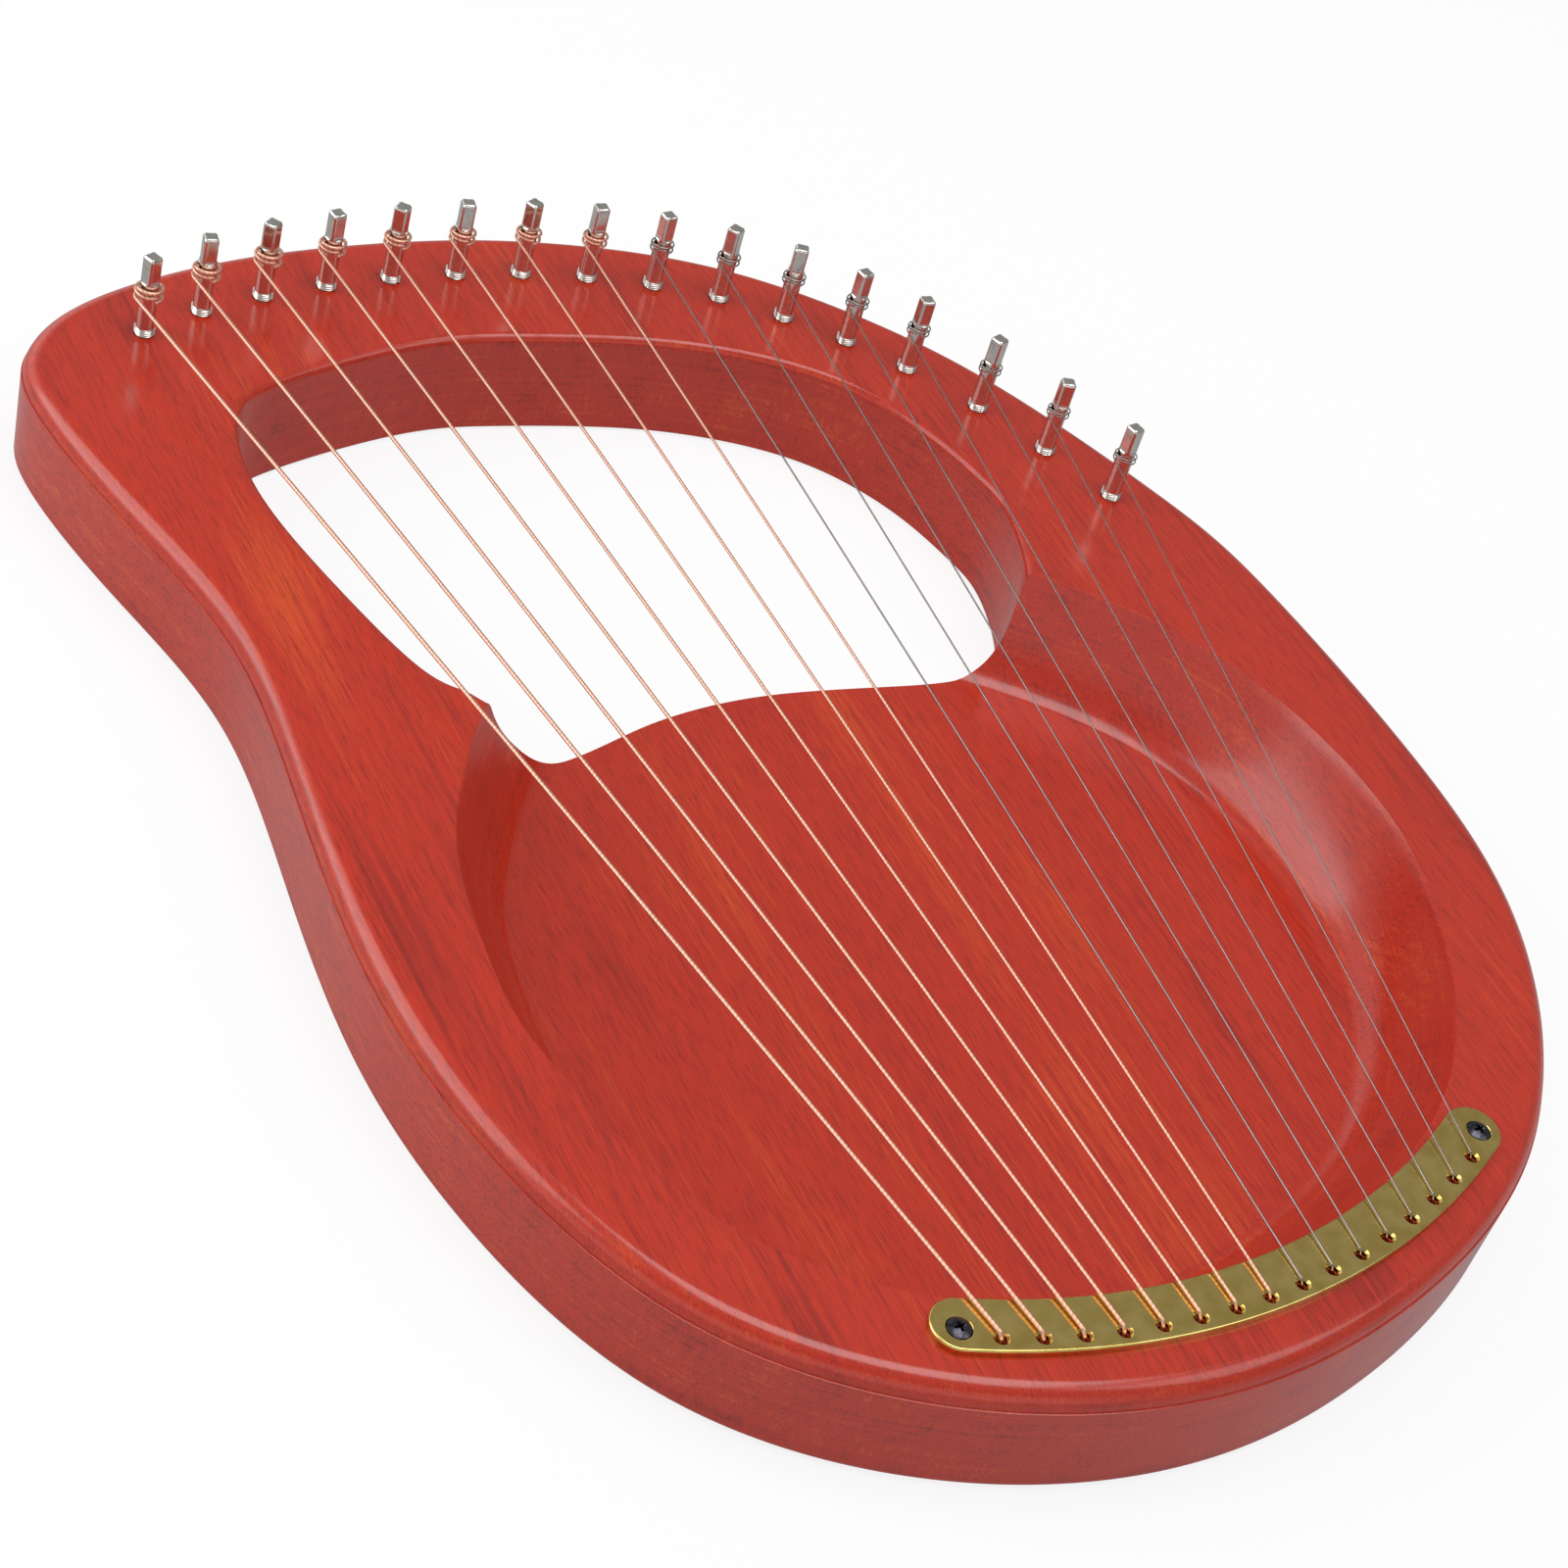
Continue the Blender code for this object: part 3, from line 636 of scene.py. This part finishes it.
@dataclass
class TailPlate:
    """Curved brass strip with a bevelled edge, string holes and screw holes."""

    low: float = 32.02 * MM
    top: float = 33.8 * MM
    width: float = 13.8 * MM
    hole_to_edge: float = 3.6 * MM
    bevel: float = 0.55 * MM
    hole: float = 1.3 * MM
    countersink: float = 1.9 * MM
    screw_hole: float = 1.6 * MM
    screw_sink: float = 3.1 * MM
    end_margin: float = 6.4 * MM
    sweep_points: int = 160
    end_steps: int = 32
    bevel_steps: int = 6

    def build(self, finish: bpy.types.Material, holes: np.ndarray, screws: np.ndarray) -> None:
        """Sweep the bevelled edge round the strip and cut the holes.

        The holes lie on a circle. The strip's long edges are circles about its centre,
        and its ends are half circles across the strip.

        Args:
            finish: The brass.
            holes: Places of the string holes, bass first.
            screws: Places of the two screws, bass first.
        """
        three = holes[[0, len(holes) // 2, -1]]
        squares = (three**2).sum(axis=1)
        centre = np.linalg.solve(2 * (three[1:] - three[0]), squares[1:] - squares[0])
        radius = np.linalg.norm(three[0] - centre)
        from_centre = screws - centre
        first, last = np.arctan2(from_centre[:, 1], from_centre[:, 0])
        middle = radius + self.hole_to_edge - self.width / 2
        spread = (self.end_margin - self.width / 2) / radius
        first, last = first - spread, last + spread
        sweep = np.linspace(first, last, self.sweep_points)
        turn = np.linspace(0, math.pi, self.end_steps + 1)[1:-1]

        def strip(inset: float, height: float) -> np.ndarray:
            """One ring of the strip, drawn in by an inset."""
            half = self.width / 2 - inset
            outer = (middle + half) * np.stack([np.cos(sweep), np.sin(sweep)], axis=-1)
            inner = (middle - half) * np.stack([np.cos(sweep), np.sin(sweep)], axis=-1)[::-1]
            ends = []
            for angle, side in ((last, 1), (first, -1)):
                spoke = np.array([math.cos(angle), math.sin(angle)])
                ahead = np.array([-spoke[1], spoke[0]])
                ends.append(middle * spoke + side * half * (
                    np.cos(turn)[:, None] * spoke + np.sin(turn)[:, None] * ahead))
            flat = np.vstack([outer, ends[0], inner, ends[1]]) + centre
            return np.column_stack([flat, np.full(len(flat), height)])

        edge_round = arc_profile((self.bevel, self.top - self.bevel), self.bevel, 180, 90,
                                 self.bevel_steps)
        profile = np.vstack([[(0.0, self.low)], edge_round])
        rings = np.stack([strip(*row) for row in profile])
        plate = add_piece("brass_tail_plate", [rings], finish)
        sink = self.countersink - self.hole
        hole = np.array([(self.hole, self.low - GAP), (self.hole, self.top - sink),
                         (self.countersink, self.top), (self.countersink, self.top + GAP)])
        drop = self.screw_sink - self.screw_hole
        screw = np.array([(self.screw_hole, self.low - GAP), (self.screw_hole, self.top - drop),
                          (self.screw_sink, self.top), (self.screw_sink, self.top + GAP)])
        carve(plate, [
            add_piece("plate_holes", [turned(hole, p, PLATE_HOLE_SIDES) for p in holes]),
            add_piece("screw_holes", [turned(screw, p, PLATE_HOLE_SIDES) for p in screws]),
        ])
        smooth(plate)
        seat(plate, "root", Slot.BRASS, "tail_plate")


@dataclass
class PlateScrew:
    """Black wood screw with a low dome and a cross recess."""

    top: float = 33.8 * MM
    head: float = 2.8 * MM
    shank: float = 1.3 * MM
    crown: float = 0.75 * MM
    length: float = 13.5 * MM
    point: float = 0.15 * MM
    point_length: float = 3.0 * MM
    recess_floor: float = 0.4
    dome_steps: int = 10
    dome_flat: float = 0.12
    sides: int = 48
    recess_reach: float = 1.75 * MM
    recess_width: float = 0.42 * MM
    recess_depth: float = 1.1 * MM

    def build(self, name: str, node: str, place: np.ndarray, finish: bpy.types.Material) -> None:
        """Turn the screw: cone under the head, and a dome whose height falls as r squared."""
        reach = np.linspace(1.0, self.dome_flat, self.dome_steps)
        dome = np.column_stack([self.head * reach, self.top + self.crown * (1 - reach**2)])
        stem = np.array([
            (self.point, self.top - self.length),
            (self.shank, self.top - self.length + self.point_length),
            (self.shank, self.top - self.head + self.shank)])
        screw = add_piece(name, [turned(np.vstack([stem, dome]), place, self.sides)], finish)
        low, high = self.top + self.crown - self.recess_depth, self.top + self.crown + GAP
        long, wide = self.recess_reach, self.recess_width
        cross = np.array([
            (long, -wide), (long, wide), (wide, wide), (wide, long), (-wide, long),
            (-wide, wide), (-long, wide), (-long, -wide), (-wide, -wide), (-wide, -long),
            (wide, -long), (wide, -wide)])
        rings = [np.column_stack([place + cross * share, np.full(len(cross), height)])
                 for share, height in ((self.recess_floor, low), (1.0, high))]
        carve(screw, [add_piece("recess", [np.stack(rings)])])
        smooth(screw)
        seat(screw, "root", Slot.BLACK, node)


@dataclass
class TuningPin:
    """Plated rod with a milled square head, an eye and a few thread crests at its base."""

    radius: float = 2.5 * MM
    exposed: float = 24.5 * MM
    buried: float = 15.0 * MM
    head_length: float = 8.2 * MM
    flats: float = 4.0 * MM
    run_out: float = 1.3 * MM
    tip_chamfer: float = 1.0 * MM
    eye_radius: float = 0.9 * MM
    eye_flare: float = 1.35 * MM
    eye_drop: float = 1.1 * MM
    thread_top: float = 2.3 * MM
    thread_pitch: float = 0.7 * MM
    thread_rise: float = 0.34 * MM
    thread_fade: float = 0.25 * MM
    thread_step: float = 0.05 * MM
    thread_start: float = -0.1 * MM
    tip_closing: float = 0.98
    curve_steps: int = 9
    sides: int = 96

    def reach(self, angle: np.ndarray, height: np.ndarray) -> np.ndarray:
        """Distance from the axis to the surface.

        The rod's radius is cut by four flats, whose distance from the axis eases from
        outside the rod to half their width over the run-out. Below, a crest that climbs
        one pitch a turn stands on the rod. Above, the tip draws in as a chamfer.

        Args:
            angle: Angle round the pin, in the pin's own frame.
            height: Height above the face.

        Returns:
            The reach at each angle and height.
        """
        shoulder = self.exposed - self.head_length
        ease = np.clip((height - shoulder) / self.run_out, 0, 1)
        flat = self.radius + (self.flats / 2 - self.radius) * np.sqrt(1 - (1 - ease)**2)
        milled = flat / np.maximum(abs(np.cos(angle)), abs(np.sin(angle)))
        phase = TURN * (height / self.thread_pitch) - angle
        fade = np.clip(height / self.thread_fade, 0, 1) * np.clip(
            (self.thread_top - height) / self.thread_fade, 0, 1)
        thread = self.thread_rise * fade * (0.5 + 0.5 * np.cos(phase))
        tip = np.clip((height - self.exposed + self.tip_chamfer) / self.tip_chamfer, 0, 1)
        rod = np.where(height < shoulder, self.radius + thread, np.minimum(self.radius, milled))
        return rod - self.tip_chamfer * (1 - np.sqrt(1 - (tip * self.tip_closing)**2))

    def build(self, number: str, place: np.ndarray, face: float, eye_angle: float,
              head_turn: float, finish: bpy.types.Material) -> None:
        """Make the rod as one grid over angle and height, and drill the eye.

        Args:
            number: Two digits of the pin's name.
            place: Its axis in plan.
            face: Height of the body's face.
            eye_angle: Direction of the eye.
            head_turn: Turn of the square head.
            finish: The plating.
        """
        shoulder = self.exposed - self.head_length
        chamfer = self.exposed - self.tip_chamfer
        heights = np.concatenate([
            [-self.buried], np.arange(self.thread_start, self.thread_top, self.thread_step),
            np.linspace(self.thread_top + 4 * self.thread_step, shoulder, 3),
            np.linspace(shoulder, shoulder + self.run_out, self.curve_steps)[1:],
            [chamfer - self.thread_step], np.linspace(chamfer, self.exposed, self.curve_steps),
        ])
        angle = np.arange(self.sides) * TURN / self.sides
        reach = self.reach(angle[None] - head_turn, heights[:, None])
        grid = np.stack([
            place[0] + reach * np.cos(angle), place[1] + reach * np.sin(angle),
            np.broadcast_to(face + heights[:, None], reach.shape)], axis=-1)
        pin = add_piece(f"plated_pin_{number}", [grid], finish)
        mouth, bore = self.radius + 0.5 * MM, self.radius - 0.4 * MM
        flare = np.array([(self.eye_flare, -mouth), (self.eye_radius, -bore),
                          (self.eye_radius, bore), (self.eye_flare, mouth)])
        drill = turned(flare, np.zeros(2), BORE_SIDES)
        along, across = math.cos(eye_angle), math.sin(eye_angle)
        turned_drill = np.stack([
            place[0] + drill[..., 2] * along - drill[..., 0] * across,
            place[1] + drill[..., 2] * across + drill[..., 0] * along,
            face + shoulder - self.eye_drop + drill[..., 1]], axis=-1)
        carve(pin, [add_piece("eye", [turned_drill])])
        smooth(pin)
        seat(pin, f"pin_{number}", Slot.PIN, f"tuning_pin_{number}")


def wire_piece(name: str, path: np.ndarray, radii: np.ndarray,
               finish: bpy.types.Material) -> bpy.types.Object:
    """Round wire along a path, with a UV map of its own length and turn.

    Each ring stands square to the path. Its first direction is level, across the path,
    and where the path is plumb it keeps the last level one.

    Args:
        name: The piece's name.
        path: Points in metres.
        radii: Radius at each point.
        finish: The wire's material.

    Returns:
        The wire, closed at both ends.
    """
    ahead = np.gradient(path, axis=0)
    ahead /= np.linalg.norm(ahead, axis=1, keepdims=True)
    level = np.column_stack([ahead[:, 1], -ahead[:, 0], np.zeros(len(path))])
    size = np.linalg.norm(level, axis=1)
    known = np.maximum.accumulate(np.where(size > 0.05, np.arange(len(path)), 0))
    level = (level / np.maximum(size, 1e-9)[:, None])[known]
    upward = np.cross(level, ahead)
    sides = WIRE_SIDES
    angle = np.arange(sides)[None, :, None] * TURN / sides
    ring = np.cos(angle) * level[:, None] + np.sin(angle) * upward[:, None]
    grid = path[:, None] + radii[:, None, None] * ring
    piece = add_piece(name, [grid], finish)
    steps = np.linalg.norm(np.diff(path, axis=0), axis=1)
    length = np.concatenate([[0.0], np.cumsum(steps)])
    index = np.zeros(len(piece.data.loops), int)
    piece.data.loops.foreach_get("vertex_index", index)
    row, column = index // sides, index % sides
    turn = column / sides
    starts = np.zeros(len(piece.data.polygons), int)
    totals = np.zeros(len(piece.data.polygons), int)
    piece.data.polygons.foreach_get("loop_start", starts)
    piece.data.polygons.foreach_get("loop_total", totals)
    face = np.repeat(np.arange(len(starts)), totals)
    has_last = np.zeros(len(starts), bool)
    np.logical_or.at(has_last, face, column == sides - 1)
    turn = np.where(has_last[face] & (column == 0), 1.0, turn)
    layer = piece.data.uv_layers.new(name="along_wire")
    layer.uv.foreach_set("vector", np.column_stack([length[row], turn]).ravel())
    piece.data.shade_smooth()
    piece.data.set_sharp_from_angle(angle=WIRE_SHARP_ABOVE)
    return piece


@dataclass
class Strings:
    """Sixteen strings, each a fixed run and the winding that turns with its pin."""

    face: float = 32.0 * MM
    plate_top: float = 33.8 * MM
    bass: float = 1.10 * MM
    wound_step: float = 0.05 * MM
    plain: float = 0.50 * MM
    plain_step: float = 0.02 * MM
    pin_radius: float = 2.5 * MM
    coil_room: float = 0.15 * MM
    eye_height: float = 15.2 * MM
    self_gap: float = 0.45 * MM
    wound_turns: float = 1.25
    fixed_turns: float = 0.75
    hole: float = 1.3 * MM
    bend_depth: float = 1.5 * MM
    ball_radius: float = 2.0 * MM
    ball_length: float = 3.6 * MM
    ball_top: float = 5.7 * MM
    ball_edge: float = 0.4 * MM
    ball_face: float = 0.8
    eye_lead: float = math.radians(18)
    turn_steps: int = 48
    run_steps: int = 60
    bend_steps: int = 12

    def diameter(self, index: int) -> float:
        """Diameter of a string: eight wound ones, then eight plain ones."""
        if index < WOUND_STRINGS:
            return self.bass - self.wound_step * index
        return self.plain - self.plain_step * (index - WOUND_STRINGS)

    def tangent(self, index: int, pin: np.ndarray, hole: np.ndarray) -> float:
        """Angle round the pin at which the straight run touches its coil."""
        away = hole - pin
        reach = self.coil_radius(index) / np.linalg.norm(away)
        return math.atan2(away[1], away[0]) - math.acos(reach)

    def coil_radius(self, index: int) -> float:
        """Radius of a coil's centre line."""
        return self.pin_radius + GAP + self.diameter(index) / 2 + self.coil_room

    def eye_angle(self, index: int, pin: np.ndarray, hole: np.ndarray) -> float:
        """Direction in which the winding enters the pin's eye."""
        return self.tangent(index, pin, hole) - TURN * (self.fixed_turns + self.wound_turns)

    def helix(self, radius: float, start: float, turns: float, low: float,
              high: float) -> np.ndarray:
        """Clockwise climb about the pin: the angle falls evenly as the height rises."""
        share = np.linspace(0, 1, round(turns * self.turn_steps))[:, None]
        angle = start - TURN * turns * share
        return np.hstack([radius * np.cos(angle), radius * np.sin(angle),
                          low + (high - low) * share])

    def build(self, index: int, pin: np.ndarray, hole: np.ndarray,
              finish: bpy.types.Material) -> None:
        """Make one string's winding and its run down to the ball end.

        Args:
            index: 0 for the longest bass string.
            pin: The pin's place in plan.
            hole: The plate hole's place in plan.
            finish: The wire's material.
        """
        number = f"{index + 1:02d}"
        diameter = self.diameter(index)
        radius = self.coil_radius(index)
        pitch = diameter + self.self_gap
        low = self.eye_height - self.wound_turns * pitch
        fixed_top = low - diameter - GAP
        base = np.array([*pin, self.face])
        tangent = self.tangent(index, pin, hole)
        start = tangent - TURN * self.fixed_turns
        coil = self.helix(radius, start, self.wound_turns, low, self.eye_height)
        eye = self.eye_angle(index, pin, hole)
        share = np.linspace(1, 0, self.bend_steps)[1:, None]
        bend = eye - self.eye_lead * (1 - share)
        inside = np.hstack([radius * share * np.cos(bend), radius * share * np.sin(bend),
                            np.full_like(share, self.eye_height)])
        winding = base + np.vstack([coil, inside])
        slot = Slot.BRONZE if index < WOUND_STRINGS else Slot.STEEL
        turns = wire_piece(f"winding_{number}", winding, np.full(len(winding), diameter / 2),
                           finish)
        seat(turns, f"pin_{number}", slot, f"string_winding_{number}")

        wrap = base + self.helix(radius, tangent, self.fixed_turns,
                                 fixed_top - self.fixed_turns * self.self_gap, fixed_top)[::-1]
        toward = (hole - pin) / np.linalg.norm(hole - pin)
        share = np.linspace(0, 1, self.bend_steps)[:, None]
        over = np.hstack([hole - toward * self.hole * (1 - share),
                          self.plate_top + diameter / 2 + GAP - self.bend_depth * share**2])
        way = np.linspace(0, 1, self.run_steps)[1:-1, None]
        straight = wrap[-1] + (over[0] - wrap[-1]) * way
        run = np.vstack([wrap, straight, over])
        edge, end = self.ball_edge, self.ball_radius * self.ball_face
        foot = self.ball_top - self.ball_length
        ball = np.array([
            (self.ball_top + edge / 4, diameter / 2), (self.ball_top - edge / 4, end),
            (self.ball_top - edge, self.ball_radius), (foot + edge, self.ball_radius),
            (foot, end)])
        drop = np.column_stack([np.tile(hole, (len(ball), 1)), ball[:, 0]])
        radii = np.concatenate([np.full(len(run), diameter / 2), ball[:, 1]])
        string = wire_piece(f"wire_{number}", np.vstack([run, drop]), radii, finish)
        seat(string, "root", slot, f"string_{number}")


@dataclass
class Stage:
    """Pale floor, soft lights and the camera at the photograph's angle."""

    lens: float = 72.435
    place: tuple[float, float, float] = (-0.387965, -0.472618, 0.537822)
    right: tuple[float, float, float] = (0.868073, -0.437663, 0.234308)
    up: tuple[float, float, float] = (0.150687, 0.682010, 0.715650)
    back: tuple[float, float, float] = (-0.473014, -0.585930, 0.657985)
    ambient: float = 0.4
    overhead_grey: float = 0.32
    overhead_from: float = 0.3
    overhead_full: float = 0.6
    far_side_full: float = 0.5
    far_side_grey: float = 0.25
    floor_white: float = 0.85
    floor_mirrored: float = 0.35
    floor_side: float = 6.0
    floor_below: float = 0.5 * MM

    def camera(self) -> None:
        """Stand the camera where the photograph was taken from."""
        camera = bpy.data.objects.new("camera", bpy.data.cameras.new("camera"))
        bpy.context.scene.collection.objects.link(camera)
        camera.data.lens = self.lens
        turn = Matrix((self.right, self.up, self.back)).transposed().to_4x4()
        camera.matrix_world = Matrix.Translation(self.place) @ turn
        bpy.context.scene.camera = camera
        bpy.context.scene.view_settings.view_transform = "Standard"

    def lamp(self, name: str, place: tuple[float, float, float], size: float,
             power: float) -> None:
        """One square soft lamp that faces the object."""
        lamp = bpy.data.lights.new(name, "AREA")
        lamp.size, lamp.energy = size, power
        thing = bpy.data.objects.new(name, lamp)
        bpy.context.scene.collection.objects.link(thing)
        thing.location = place
        thing.rotation_euler = (-thing.location).to_track_quat("-Z", "Y").to_euler()

    def white_seen(self, tree: bpy.types.NodeTree) -> bpy.types.NodeSocket:
        """1 where the camera, a reflection or glass looks, and 0 for plain light."""
        path = add_node(tree, "ShaderNodeLightPath")
        glossy = add_node(tree, "ShaderNodeMath", {
            0: path.outputs["Is Camera Ray"], 1: path.outputs["Is Glossy Ray"]},
            operation="MAXIMUM").outputs[0]
        return add_node(tree, "ShaderNodeMath", {
            0: glossy, 1: path.outputs["Is Transmission Ray"]}, operation="MAXIMUM").outputs[0]

    def build(self) -> None:
        """Set up camera, lamps, world and floor."""
        self.camera()
        self.lamp("overhead", (0.15, -0.1, 1.6), 1.0, 11.0)
        self.lamp("window_side", (-1.05, 0.55, 0.75), 1.1, 8.5)
        self.lamp("room_side", (0.9, -0.8, 1.3), 0.8, 3.5)
        world = bpy.data.worlds.new("studio")
        bpy.context.scene.world = world
        world.use_nodes = True
        tree = world.node_tree
        way = add_node(tree, "ShaderNodeTexCoord").outputs["Generated"]
        split = add_node(tree, "ShaderNodeSeparateXYZ", {"Vector": way})
        low = add_node(tree, "ShaderNodeMapRange", {
            "Value": split.outputs["X"], "From Min": 0.0, "From Max": self.far_side_full,
            "To Min": 1.0, "To Max": self.far_side_grey}, interpolation_type="SMOOTHSTEP")
        high = add_node(tree, "ShaderNodeMapRange", {
            "Value": split.outputs["Z"], "From Min": self.overhead_from,
            "From Max": self.overhead_full}, interpolation_type="SMOOTHSTEP")
        mirrored = add_node(tree, "ShaderNodeMix", {
            0: high.outputs["Result"], 2: low.outputs["Result"], 3: self.overhead_grey})
        path = add_node(tree, "ShaderNodeLightPath")
        seen = add_node(tree, "ShaderNodeMix", {
            0: path.outputs["Is Camera Ray"], 2: mirrored.outputs[0], 3: 1.0})
        strength = add_node(tree, "ShaderNodeMix", {
            0: self.white_seen(tree), 2: self.ambient, 3: seen.outputs[0]})
        background = tree.nodes["Background"]
        background.inputs["Color"].default_value = (1, 1, 1, 1)
        tree.links.new(strength.outputs[0], background.inputs["Strength"])
        side = self.floor_side
        mesh = bpy.data.meshes.new("floor")
        corners = [(-side, -side), (side, -side), (side, side), (-side, side)]
        mesh.from_pydata([(x, y, -self.floor_below) for x, y in corners], [], [(0, 1, 2, 3)])
        floor = bpy.data.objects.new("floor", mesh)
        bpy.context.scene.collection.objects.link(floor)
        material, _ = principled("pale_paper_floor", Roughness=0.9, Specular_IOR_Level=0.2)
        tree = material.node_tree
        shader = tree.nodes["Principled BSDF"]
        shader.inputs["Base Color"].default_value = linear("f8f8f8")
        path = add_node(tree, "ShaderNodeLightPath")
        glow = add_node(tree, "ShaderNodeMix", {
            0: path.outputs["Is Camera Ray"], 2: self.floor_mirrored, 3: 1.0}).outputs[0]
        lit = add_node(tree, "ShaderNodeEmission", {"Color": (1, 1, 1, 1), "Strength": glow})
        shade = add_node(tree, "ShaderNodeMath", {0: self.white_seen(tree), 1: self.floor_white},
                         operation="MULTIPLY")
        mixed = add_node(tree, "ShaderNodeMixShader", {
            0: shade.outputs[0], 1: shader.outputs[0], 2: lit.outputs[0]})
        tree.links.new(mixed.outputs[0], tree.nodes["Material Output"].inputs["Surface"])
        mesh.materials.append(material)
        log.info("stage: camera, lamps, world and floor")


def points_of(node: bpy.types.Object) -> np.ndarray:
    """A frame node's points, one row each."""
    flat = np.zeros(len(node.data.vertices) * 3, np.float32)
    node.data.vertices.foreach_get("co", flat)
    return flat.reshape(-1, 3).astype(float)


def middle_in_plan(points: np.ndarray) -> np.ndarray:
    """Middle of the points' box, seen from above."""
    return (points[:, :2].min(axis=0) + points[:, :2].max(axis=0)) / 2


class Lyre:
    """The whole instrument, built round its frame."""

    head_turns = (12, -20, 30, 5, 40, -15, 25, -5, 10, 35, -25, 15, 0, 28, -12, 20)

    def __init__(self, frame: dict[str, Any]) -> None:
        """Read where the pins, string holes and screws are.
        """
        nodes = frame["nodes"]
        numbers = [f"{i + 1:02d}" for i in range(STRING_COUNT)]
        self.numbers = numbers
        self.pins = np.array([middle_in_plan(points_of(nodes[f"tuning_pin_{n}"])) for n in numbers])
        runs = [points_of(nodes[f"string_{n}"]) for n in numbers]
        self.holes = np.array([middle_in_plan(run[run[:, 2] < 6 * MM]) for run in runs])
        self.screws = np.array([middle_in_plan(points_of(nodes[n]))
                                for n in ("plate_screw_bass", "plate_screw_treble")])

    def build(self) -> None:
        """Build and dress every piece."""
        LyreBody().build(LacqueredMahogany().material(), self.pins, self.holes, self.screws)
        TailPlate().build(BRASS.material(), self.holes, self.screws)
        black = BLACK_STEEL.material()
        for side, place in zip(("bass", "treble"), self.screws):
            PlateScrew().build(f"black_screw_{side}", f"plate_screw_{side}", place, black)
        nickel, bronze, steel = NICKEL.material(), WoundWire().material(), STEEL_WIRE.material()
        strings = Strings()
        for index, (pin, hole) in enumerate(zip(self.pins, self.holes)):
            eye = strings.eye_angle(index, pin, hole)
            turn = eye + math.radians(self.head_turns[index])
            TuningPin().build(self.numbers[index], pin, strings.face, eye, turn, nickel)
            strings.build(index, pin, hole, bronze if index < WOUND_STRINGS else steel)


def main() -> None:
    logging.basicConfig(level=logging.INFO, format="%(message)s")
    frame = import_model()
    Stage().build()
    Lyre(frame).build()


if __name__ == "__main__":
    main()
